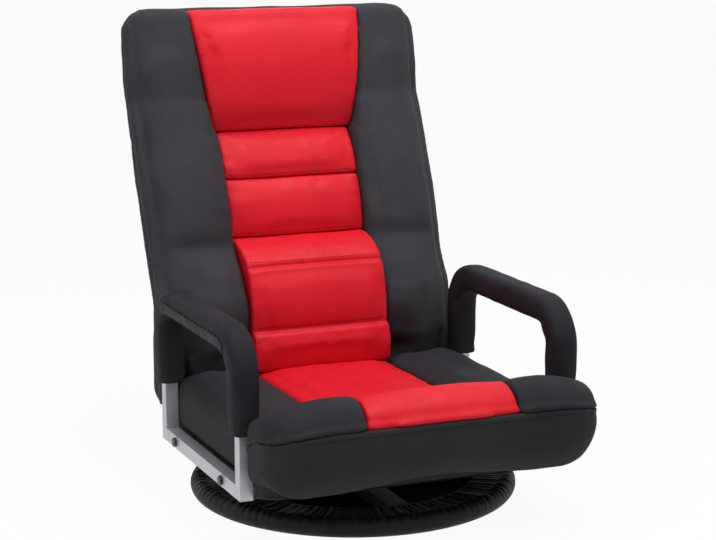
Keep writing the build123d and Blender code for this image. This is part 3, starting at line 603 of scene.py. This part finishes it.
def bolster_shape(co, nrm):
    """A bolster swells forward beside the lumbar pad, under a crease above that pad's top. The hinge's slot
    closes to a slit above the bracket."""
    swell, crease, crease_z, crease_width = 0.014, 0.0055, 0.362, 0.016
    wall, edge, slit_share = 0.009, 0.022, 0.05
    x, y, z = np.abs(co[:, 0]), co[:, 1].copy(), co[:, 2]
    front = smoothstep(0.0, 0.5, -nrm[:, 1])
    level = smoothstep(0.195, 0.270, z) * (1 - smoothstep(0.318, 0.356, z))
    co[:, 1] -= swell * level * (1 - smoothstep(0.150, 0.222, x)) * front
    pressed = np.exp(-((z - crease_z) / crease_width) ** 2)
    co[:, 1] += crease * pressed * front * (1 - smoothstep(0.21, 0.25, x))
    off = np.abs(x - HINGE_X)
    drawn = np.where(off < wall, slit_share * off, np.interp(off, [wall, edge], [slit_share * wall, edge]))
    slit = (off < edge) * smoothstep(0.160, 0.168, z) * (1 - smoothstep(0.190, 0.205, z))
    slit *= 1 - smoothstep(0.166, 0.178, y)
    co[:, 0] += np.sign(co[:, 0]) * np.sign(x - HINGE_X) * (drawn - off) * slit


def back_corner(co, _):
    """The back's lower outer corners are drawn up round."""
    lift = 0.014
    low = 1 - smoothstep(0.094, 0.175, co[:, 2])
    co[:, 2] += lift * smoothstep(0.222, 0.258, np.abs(co[:, 0])) * low


def hinge_room(co, _):
    """Keep the rooms round the two hinges as wide and as deep as in the solid."""
    half, depth, rim = 0.0108, 0.0555, 0.050
    off = np.abs(co[:, 0]) - HINGE_X
    reach = np.hypot(co[:, 1] - HINGE_Y, co[:, 2] - HINGE_Z)
    inside = (np.abs(off) < half) & (reach < depth)
    wall = inside & (reach < rim)
    co[wall, 0] += np.sign(co[wall, 0]) * np.sign(off[wall]) * (half - np.abs(off[wall]))
    end = inside & (reach >= rim)
    stretch = depth / reach[end]
    co[end, 1] = HINGE_Y + (co[end, 1] - HINGE_Y) * stretch
    co[end, 2] = HINGE_Z + (co[end, 2] - HINGE_Z) * stretch


def lumbar_foot(co, _):
    """The lumbar pad's foot sinks until it rests on the seat."""
    sink = 0.0075
    low = 1 - smoothstep(0.176, 0.215, co[:, 2])
    front = 1 - smoothstep(0.125, 0.175, co[:, 1])
    co[:, 2] -= sink * low * front


SHAPES = {"seat_side": [seat_side_bulge], "front_roll": [close_seam, front_ends],
          "apron": [close_seam, front_ends], "bolster": [bolster_shape, back_corner],
          "rear_cover": [back_corner, hinge_room], "lumbar": [lumbar_foot]}
for index, p in enumerate(pads):
    mesh = p.ob.data
    wrinkle, rounds = (0.0008, 4) if p.name == "head" else (0.0018, 1)
    pucker(p, wrinkle, 0.016, 5.0 + index * 1.7)
    relax(mesh, rounds, 0.3)
    set_coords(mesh, p.hold(coords(mesh)))
    for prefix, changes in SHAPES.items():
        for change in changes if p.name.startswith(prefix) else ():
            co = coords(mesh)
            change(co, normals(mesh))
            set_coords(mesh, co)
    finish_piece(p.ob, p.body, p.mat, (p.node,), levels=1)


# Armrest sleeves with their sewn hem

def arm_path(x, step=0.006):
    """Points and tangents of the sleeve's line: up the front post, along the rail and down the rear one."""
    points, tangents = [], []

    def straight(a, b):
        count = max(2, int(math.dist(a, b) / step))
        for i in range(count):
            points.append([a[k] + (b[k] - a[k]) * i / count for k in range(2)])
            tangents.append(unit(b[0] - a[0], b[1] - a[1]))

    def bend(centre, first, last):
        count = max(4, int(abs(last - first) * ARM_BEND / step * 1.6))
        for i in range(count):
            t = first + (last - first) * i / count
            points.append([centre[0] + ARM_BEND * math.cos(t), centre[1] + ARM_BEND * math.sin(t)])
            tangents.append((math.sin(t), -math.cos(t)))

    top = ARM_RAIL_Z - ARM_BEND
    straight((ARM_FRONT_Y, ARM_FOOT_Z), (ARM_FRONT_Y, top))
    bend((ARM_FRONT_Y + ARM_BEND, top), math.pi, math.pi / 2)
    straight((ARM_FRONT_Y + ARM_BEND, ARM_RAIL_Z), (ARM_REAR_Y - ARM_BEND, ARM_RAIL_Z))
    bend((ARM_REAR_Y - ARM_BEND, top), math.pi / 2, 0.0)
    straight((ARM_REAR_Y, top), (ARM_REAR_Y, ARM_REAR_FOOT_Z))
    points.append([ARM_REAR_Y, ARM_REAR_FOOT_Z])
    tangents.append((0.0, -1.0))
    return [Vector((x, *p)) for p in points], [Vector((0, *t)) for t in tangents]


def sleeve_radius(angle):
    """The sleeve's section, a square with full round corners, 0 towards the outside and 90 degrees on top."""
    corner = abs(math.cos(angle)) ** SLEEVE_SQUARENESS + abs(math.sin(angle)) ** SLEEVE_SQUARENESS
    return SLEEVE_HALF / corner ** (1 / SLEEVE_SQUARENESS)


def arm_up(p, t, across):
    """Square to the sleeve's line, away from the middle of the arm's loop."""
    up = t.cross(across)
    return -up if up.dot(ARM_CENTRE - Vector((0, p.y, p.z))) > 0 else up


def run_lengths(points):
    """How far along a line each of its points is."""
    out = [0.0]
    for a, b in zip(points, points[1:]):
        out.append(out[-1] + (b - a).length)
    return out


def arm_sleeve(tag, sign):
    """A stuffed sleeve with a cuff at both ends and folds on the inside of its bends."""
    ring, fold_depth, fold_pitch, softness, end_lift, end_share = 40, 0.0016, 0.0075, 0.0009, 0.006, 0.43
    bead, bead_at, groove_at, taper, taper_run = 0.05, 0.006, 0.016, 0.09, 0.03
    points, tangents = arm_path(sign * ARM_X)
    across = Vector((sign, 0, 0))
    length = run_lengths(points)
    verts, rows = [], len(points)
    for i, (p, t) in enumerate(zip(points, tangents)):
        up = arm_up(p, t, across)
        bent = abs(t.y) * abs(t.z) * 2
        end = min(length[i], length[-1] - length[i])
        cuff = 1 + bead * math.exp(-((end - bead_at) / 0.005) ** 2)
        cuff -= bead * math.exp(-((end - groove_at) / 0.004) ** 2)
        for k in range(ring):
            a = 2 * math.pi * k / ring
            c, s = math.cos(a), math.sin(a)
            r = sleeve_radius(a) * cuff * (1 - taper * math.exp(-(end / taper_run) ** 2))
            q = p + across * (r * c) + up * (r * s)
            ripple = math.sin(length[i] / fold_pitch + 1.2 * math.sin(3 * a))
            fold = max(0.0, -s) * bent * fold_depth * ripple
            soft = softness * noise.noise(q * 38 + Vector((0, 0, 5 + sign)))
            verts.append(q + (across * c + up * s) * (soft + fold))
    faces = quads(rows, ring, closed=True)
    for row in (0, rows - 1):
        first = len(verts)
        for k in range(ring):
            q = points[row] + (verts[row * ring + k] - points[row]) * end_share
            verts.append(q + Vector((0, 0, end_lift)))
        for k in range(ring):
            n = (k + 1) % ring
            quad = (row * ring + k, first + k, first + n, row * ring + n)
            faces.append(quad if row == 0 else quad[::-1])
        faces.append(tuple(first + k for k in (range(ring) if row else reversed(range(ring)))))
    if sign < 0:
        faces = [f[::-1] for f in faces]
    ob = new_object("arm_sleeve_" + tag, verts, faces)
    finish_piece(ob, "seat", ARM_SLEEVE, ("arm_pad_" + tag,), levels=1)


def arm_seam(tag, sign):
    """The sleeve's sewn edge on its outer face: a ribbed hem that hugs the sleeve under a row of stitches."""
    hem = [(2, -0.0006), (0, 0.0012), (-12, 0.0016), (-25, 0.0017), (-36, 0.0013), (-38, -0.0008)]
    lower_edge, full_lift, rib_height, hem_drop = -30, 0.0014, 0.0008, 0.008
    stitch_degree, stitch_lift, stitch_pitch, stitch_thread = 5, 0.0006, 0.0150, 0.0015
    points, tangents = arm_path(sign * ARM_X, 0.003)
    across = Vector((sign, 0, 0))
    verts, line = [], []

    def on_sleeve(p, up, degree, lift):
        a = math.radians(degree)
        return p + (across * math.cos(a) + up * math.sin(a)) * (sleeve_radius(a) + lift)

    for i, (p, t) in enumerate(zip(points, tangents)):
        if p.z < ARM_RAIL_Z - hem_drop:
            continue
        up = arm_up(p, t, across)
        for degree, lift in hem:
            jag = 1.3 * (i % 3 - 1) if degree < lower_edge else 0.0
            rib = rib_height * (i // 2 % 2) if lift > full_lift else 0.0
            verts.append(on_sleeve(p, up, degree + jag, lift + rib))
        line.append(on_sleeve(p, up, stitch_degree, stitch_lift))
    size = len(hem)
    faces = quads(len(line), size, closed=True, flip=True)
    faces.append(tuple(range(size)))
    faces.append(tuple((len(line) - 1) * size + k for k in reversed(range(size))))
    if sign < 0:
        faces = [f[::-1] for f in faces]
    finish_piece(new_object("arm_hem_" + tag, verts, faces), "seat", HEM)
    stitches("arm_stitch_" + tag, line, "seat", stitch_pitch, stitch_thread)


def stitches(name, line, body, pitch=0.0062, thread=0.00055, mat=THREAD):
    """A run of thread stitches along a line: short rounded dashes that dip at both ends."""
    shape = [(0.0, 0.35), (0.18, 0.95), (0.5, 1.1), (0.82, 0.95), (1.0, 0.35)]
    sides_count, dash_share = 6, 0.64
    steps = run_lengths(line)
    flat = np.array([list(p) for p in line])

    def at(s):
        return Vector([np.interp(s, steps, flat[:, k]) for k in range(3)])

    verts, faces = [], []
    for i in range(int(steps[-1] / pitch)):
        a, b = at(i * pitch), at(i * pitch + pitch * dash_share)
        way = (b - a).normalized()
        u = way.orthogonal().normalized()
        v = way.cross(u)
        base = len(verts)
        for share, swell in shape:
            centre = a.lerp(b, share)
            for k in range(sides_count):
                t = 2 * math.pi * k / sides_count
                verts.append(centre + (u * math.cos(t) + v * math.sin(t)) * thread * swell)
        faces += quads(len(shape), sides_count, base, closed=True)
        faces.append(tuple(base + k for k in reversed(range(sides_count))))
        faces.append(tuple(base + (len(shape) - 1) * sides_count + k for k in range(sides_count)))
    finish_piece(new_object(name, verts, faces), body, mat)


def topstitch(name, pad_name, z, half, from_y, mat=THREAD):
    """A row of stitches across a cushion at one height, on the surface that is seen from from_y."""
    p = by_name[pad_name]
    way = Vector((0, -1 if from_y > 0 else 1, 0))
    line, count, thread_lift = [], 120, 0.0002
    for i in range(count + 1):
        x = -half + 2 * half * i / count
        hit, place, normal, _ = p.ob.ray_cast(Vector((x, from_y, z)), way)
        if hit:
            line.append(place + normal * thread_lift)
    stitches(name, line, p.body, mat=mat)


bpy.context.view_layer.update()
FROM_FRONT, FROM_REAR = -0.6, 0.8
topstitch("lumbar_thread_upper", "lumbar", 0.3395, 0.110, FROM_FRONT, RED_THREAD)
topstitch("lumbar_thread_lower", "lumbar", 0.2405, 0.110, FROM_FRONT, RED_THREAD)
topstitch("waist_thread", "waist", 0.3745, 0.108, FROM_FRONT, RED_THREAD)
topstitch("chest_thread", "chest", 0.4660, 0.108, FROM_FRONT, RED_THREAD)
topstitch("apron_thread", "apron", 0.1845, 0.215, FROM_FRONT)
topstitch("rear_thread_upper", "rear_cover", 0.5200, 0.236, FROM_REAR)
topstitch("rear_thread_lower", "rear_cover", 0.5100, 0.236, FROM_REAR)
for tag, sign in (("left", 1), ("right", -1)):
    arm_sleeve(tag, sign)
    arm_seam(tag, sign)


# Base cover: a flat disc under the ring and a gathered band with an elastic hem over it

def gathered_band():
    """The band's section runs round the tube and then in over it to the hem; each of its points has a radius,
    a height and the way that its gathers stand out."""
    turns, around, inward = 1080, 28, 9
    fine_count, broad_count, fine_depth, broad_depth, hem_depth = 59, 43, 0.0021, 0.0009, 0.0008
    first, last = math.radians(-86), math.radians(122)
    wrap, line = COVER_RADIUS - 0.0006, []
    for i in range(around):
        t = first + (last - first) * i / (around - 1)
        line.append((RING_RADIUS + wrap * math.cos(t), RING_Z + wrap * math.sin(t), math.cos(t), math.sin(t)))
    for i in range(inward):
        height = 0.0292 - 0.0013 * math.sin(i / inward * 1.5)
        line.append((RING_RADIUS - 0.014 - 0.0045 * i, height, -0.15, 0.99))
    verts = []
    for j, (ring, height, across, up) in enumerate(line):
        share = j / (len(line) - 1)
        gather = float(smoothstep(0.22, 0.62, np.array(share)))
        flatten = 1.0 if share < 0.72 else 0.62
        hem = math.exp(-((share - 0.985) / 0.02) ** 2)
        for i in range(turns):
            a = 2 * math.pi * i / turns
            spot = Vector((math.cos(a) * 9, math.sin(a) * 9, 1.7))
            warp = noise.noise(spot) * 2.2 + 0.25 * noise.noise(Vector((a * 4, share * 6, 3)))
            lively = 0.75 + 0.6 * noise.noise(spot * 0.6 + Vector((3, 1, 8)))
            fine = 1.4 * abs(math.sin(fine_count * a + warp)) - 0.9
            broad = math.sin(broad_count * a + warp * 3.0 + 1.0)
            rise = gather * lively * flatten * (fine_depth * fine + broad_depth * broad) + hem_depth * hem
            wide = ring + across * rise
            verts.append((wide * math.cos(a), wide * math.sin(a), max(height + up * rise, 0.0002)))
    band = new_object("base_cover_gathered", verts, quads(len(line), turns, closed=True))
    thicken(band, 0.0009, -1)
    finish_piece(band, "base", BASE_CLOTH, ("base_cover_band",))


def floor_disc():
    rings, spokes, height, edge_height = 26, 180, 0.0009, 0.0008
    verts = [(0, 0, height)]
    for j in range(1, rings + 1):
        r = (RING_RADIUS - 0.0006) * j / rings
        for i in range(spokes):
            a = 2 * math.pi * i / spokes
            lift = height + 0.0005 * noise.noise(Vector((r * math.cos(a) * 30, r * math.sin(a) * 30, 4)))
            verts.append((r * math.cos(a), r * math.sin(a), lift if j < rings else edge_height))
    faces = [(0, 1 + i, 1 + (i + 1) % spokes) for i in range(spokes)]
    faces += quads(rings, spokes, 1, closed=True, flip=True)
    disc = new_object("base_cover_floor", verts, faces)
    thicken(disc, 0.0008)
    finish_piece(disc, "base", BASE_CLOTH, ("base_cover_disc",))


gathered_band()
floor_disc()


# Webbing straps, the cloth under the seat and the rails' front ends

SOFTENED = {"silver_steel": 0.0022, "black_steel": 0.0012, "dark_bolt": 0.0008, "zinc_steel": 0.0005}


def webbing():
    """Four straps from side rail to side rail."""
    low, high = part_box("seat_webbing")
    verts, faces = [], []
    straps, across, along, width = 4, 8, 90, 0.050
    first = low.y + width / 2
    pitch = (high.y - width / 2 - first) / (straps - 1)
    for s in range(straps):
        faces += quads(along + 1, across + 1, len(verts), flip=True)
        for i in range(along + 1):
            x = low.x + (high.x - low.x) * i / along
            for k in range(across + 1):
                y = first + s * pitch - width / 2 + width * k / across
                wave = 0.0002 * noise.noise(Vector((x * 30, y * 30, s)))
                verts.append((x, y, (low.z + high.z) / 2 + wave))
    ob = new_object("seat_straps", verts, faces)
    thicken(ob, 0.0016)
    finish_piece(ob, "seat", WEBBING, ("seat_webbing",))


def underside():
    """Cloth under the seat rails, with round front corners and a hole for the swivel."""
    low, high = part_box("seat_underside_cloth")
    hole, cell, corner, depth, skin = 0.1024, 0.008, 0.034, 0.004, 0.0006
    columns, rows = round((high.x - low.x) / cell), round((high.y - low.y) / cell)
    verts, inside = [], []
    for j in range(rows + 1):
        for i in range(columns + 1):
            x = low.x + (high.x - low.x) * i / columns
            y = low.y + (high.y - low.y) * j / rows
            u, v = abs(x) - high.x + corner, low.y + corner - y
            if min(u, v) > 0:
                shrink = 1 - max(u, v) / math.hypot(u, v)
                x, y = x - math.copysign(u * shrink, x), y + v * shrink
            r = math.hypot(x, y)
            inside.append(r < hole)
            if r < hole and r > 1e-6:
                x, y = x * hole / r, y * hole / r
            edge = min(x - low.x, high.x - x, y - low.y, high.y - y, max(r - hole, 0))
            slack = 0.7 + 0.5 * noise.noise(Vector((x * 14, y * 14, 3)))
            sag = depth * smoothstep(0.012, 0.07, np.array(edge)) * slack
            sweep = (RAIL_LIFT - 0.0012) * float(smoothstep(RAIL_SWEEP, RAIL_TIP, np.array(y)))
            verts.append((x, y, high.z - skin - float(sag) + sweep))
    faces = [q for q in quads(rows + 1, columns + 1) if not all(inside[v] for v in q)]
    ob = new_object("seat_under_cloth", verts, faces)
    thicken(ob, 0.0008)
    finish_piece(ob, "seat", WEBBING, ("seat_underside_cloth",))


def swept_rail(node):
    """A seat rail whose lower side sweeps up under the apron, so that it stays out of sight."""
    cuts, taper = 8, 0.018
    mesh = nodes[node].data.copy()
    shape = bmesh.new()
    shape.from_mesh(mesh)
    for y in np.linspace(RAIL_SWEEP, RAIL_TIP, cuts):
        whole = shape.verts[:] + shape.edges[:] + shape.faces[:]
        bmesh.ops.bisect_plane(shape, geom=whole, plane_co=(0, y, 0), plane_no=(0, 1, 0))
    shape.to_mesh(mesh)
    shape.free()
    if "custom_normal" in mesh.attributes:
        mesh.attributes.remove(mesh.attributes["custom_normal"])
    co = coords(mesh)
    low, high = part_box(node)
    lift = RAIL_LIFT * smoothstep(RAIL_SWEEP, RAIL_TIP, co[:, 1])
    co[:, 2] += lift * (high.z - co[:, 2]) / (high.z - low.z)
    outside = np.clip(np.abs(co[:, 0]) - SIDE_RAIL_INNER, 0, None) / SIDE_RAIL_WIDTH
    co[:, 0] -= np.sign(co[:, 0]) * taper * outside * smoothstep(-0.225, -0.268, co[:, 1])
    set_coords(mesh, co)
    ob = link(node + "_swept", mesh)
    wear(ob, BLACK_STEEL)
    soften_edges(ob, SOFTENED["black_steel"])
    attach(ob, "seat")
    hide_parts(node)


def front_tuck():
    """The apron's cloth is drawn in under the front rail and round the ends of the side rails."""
    front, side_x, corner, side_run, wave = -0.2690, 0.2440, 0.024, 0.022, 0.0011
    straight, bend, side = 36, 8, 4
    profile = [(0.020, 0.1140), (0.012, 0.1065), (0.005, 0.1005), (0.0012, 0.0960), (0.0008, 0.0920),
               (0.0, 0.0886), (-0.004, 0.0870), (-0.013, 0.0862), (-0.023, 0.0856)]
    rail_top, rail_depth = 0.096, 0.0074
    half = [((side_x - corner) * i / straight, front) for i in range(straight + 1)]
    for i in range(1, bend + 1):
        t = math.pi / 2 * i / bend
        half.append((side_x - corner + corner * math.sin(t), front + corner - corner * math.cos(t)))
    half += [(side_x, front + corner + side_run * i / side) for i in range(1, side + 1)]
    path = [(-x, y) for x, y in reversed(half[1:])] + half
    verts = []
    for i, (x, y) in enumerate(path):
        before, after = path[max(i - 1, 0)], path[min(i + 1, len(path) - 1)]
        tangent = Vector((after[0] - before[0], after[1] - before[1], 0)).normalized()
        out = Vector((tangent.y, -tangent.x, 0))
        flare = 1 - 0.86 * float(smoothstep(0.15, 0.8, np.array(abs(out.x))))
        for k, (away, z) in enumerate(profile):
            crease = wave * noise.noise(Vector((x * 60, y * 60, k * 0.35))) * math.sin(math.pi * k / 8)
            reach = away * flare if away > 0 else away * (1 - 0.75 * abs(out.x))
            place = Vector((x, y, z)) + out * (reach + crease)
            swept = float(smoothstep(RAIL_SWEEP, RAIL_TIP, np.array(place.y)))
            place.z -= RAIL_LIFT * (1 - swept) * min(1.0, max(0.0, (rail_top - z) / rail_depth))
            verts.append(place)
    ob = new_object("apron_tuck", verts, quads(len(path), len(profile), flip=True))
    thicken(ob, 0.0010)
    finish_piece(ob, "seat", SHADED_SEAT_MESH, levels=1)


def crease_gusset():
    """A loose fold of cloth that joins the seat to the back, built as it lies with the back upright; it is
    tied to neither body, so nothing here opens it as the back goes down.
    """
    half, columns, depth = 0.113, 56, 0.0016
    line = [(0.1370, 0.1660), (0.1428, 0.1560), (0.1452, 0.1420), (0.1475, 0.1285), (0.1520, 0.1215),
            (0.1570, 0.1260), (0.1600, 0.1400), (0.1630, 0.1560), (0.1665, 0.1700), (0.1700, 0.1800)]
    verts, size = [], len(line)
    for i in range(columns + 1):
        x = -half + 2 * half * i / columns
        for k, (y, z) in enumerate(line):
            loose = math.sin(math.pi * k / (size - 1))
            wave = depth * noise.noise(Vector((x * 34, z * 12, k * 0.3))) * loose
            verts.append((x, y + wave, z + wave))
    ob = new_object("crease_gusset", verts, quads(columns + 1, size))
    thicken(ob, 0.0010)
    dress(ob, SHADED_SEAT_MESH)
    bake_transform(ob)


webbing()
underside()
for node in ("seat_front_rail", "seat_side_rail_left", "seat_side_rail_right"):
    swept_rail(node)
front_tuck()
crease_gusset()


# Finishes of the metal parts, which keep their solids

FINISH = {"silver_steel": SILVER, "black_steel": BLACK_STEEL, "zinc_steel": ZINC, "dark_bolt": DARK_BOLT,
          "ball_steel": BALL_STEEL, "cage_plastic": CAGE}
KEPT_EDGES = ("base_ring", "arm_tube", "back_frame", "swivel_lower", "swivel_upper")
for row in frame["record"]["subparts"]:
    node = nodes[row["node"]]
    if row["material_slot"] not in FINISH or node.hide_render:
        continue
    wear(node, FINISH[row["material_slot"]])
    width = SOFTENED.get(row["material_slot"])
    if width and not row["node"].startswith(KEPT_EDGES):
        soften_edges(node, width)


# Floor, light and camera

def seen_white(tree):
    """1 for camera, mirror and glass rays, which see a white ground, and 0 for the light on the chair."""
    rays = tree.nodes.new("ShaderNodeLightPath").outputs
    return math_node(tree, "MAXIMUM", rays["Is Camera Ray"],
                     math_node(tree, "MAXIMUM", rays["Is Glossy Ray"], rays["Is Transmission Ray"]))


def mix_shaders(tree, factor, a, b, output):
    mix = tree.nodes.new("ShaderNodeMixShader")
    for socket, value in zip(mix.inputs, (factor, a.outputs[0], b.outputs[0])):
        tree.links.new(value, socket)
    tree.links.new(mix.outputs[0], tree.nodes[output].inputs[0])


def studio():
    far, level, white_share = 90.0, -0.0004, 0.95
    verts = [(-far, -far, level), (far, -far, level), (far, far, level), (-far, far, level)]
    floor = new_object("floor", verts, [(0, 1, 2, 3)])
    mat, tree, shader = node_material("floor")
    set_sockets(shader, Base_Color=(0.86, 0.86, 0.86, 1), Roughness=0.9, Specular_IOR_Level=0.1)
    glow = add_node(tree, "ShaderNodeEmission", Color=(1, 1, 1, 1), Strength=1.0)
    share = math_node(tree, "MULTIPLY", seen_white(tree), white_share)
    mix_shaders(tree, share, shader, glow, "Material Output")
    wear(floor, mat)

    world = bpy.data.worlds.new("studio")
    scene.world = world
    world.use_nodes = True
    tree = world.node_tree
    soft = tree.nodes["Background"]
    set_sockets(soft, Color=(1, 1, 1, 1), Strength=0.20)
    white = add_node(tree, "ShaderNodeBackground", Color=(1, 1, 1, 1), Strength=1.0)
    mix_shaders(tree, seen_white(tree), soft, white, "World Output")

    def softbox(name, place, target, size, power):
        lamp = bpy.data.lights.new(name, "AREA")
        lamp.shape, lamp.size, lamp.size_y, lamp.energy = "RECTANGLE", size[0], size[1], power
        ob = link(name, lamp)
        ob.location = place
        ob.rotation_euler = (Vector(target) - Vector(place)).to_track_quat("-Z", "Y").to_euler()

    softbox("top_light", (0.1, -0.5, 2.7), (0, 0, 0.3), (2.6, 2.2), 76)
    softbox("front_light", (0.7, -2.3, 2.2), (0, 0, 0.4), (1.8, 1.2), 7)
    softbox("left_light", (-2.7, -0.1, 1.1), (0, 0, 0.3), (1.6, 1.6), 11)


def camera():
    """The photograph's view, fitted to the chair; the focal length is in pixels of a frame 716 wide."""
    focal, frame_width = 2001.5, 716
    azimuth, elevation = math.radians(-23.0), math.radians(11.2)
    back = Vector((math.sin(azimuth) * math.cos(elevation), -math.cos(azimuth) * math.cos(elevation),
                   math.sin(elevation)))
    data = bpy.data.cameras.new("camera")
    data.sensor_width, data.lens = 36.0, focal / frame_width * 36.0
    ob = link("camera", data)
    ob.location = (-1.16897, -2.77388, 0.94441)
    ob.rotation_euler = (-back).to_track_quat("-Z", "Y").to_euler()
    scene.camera = ob


studio()
camera()
scene.view_settings.view_transform = "Standard"
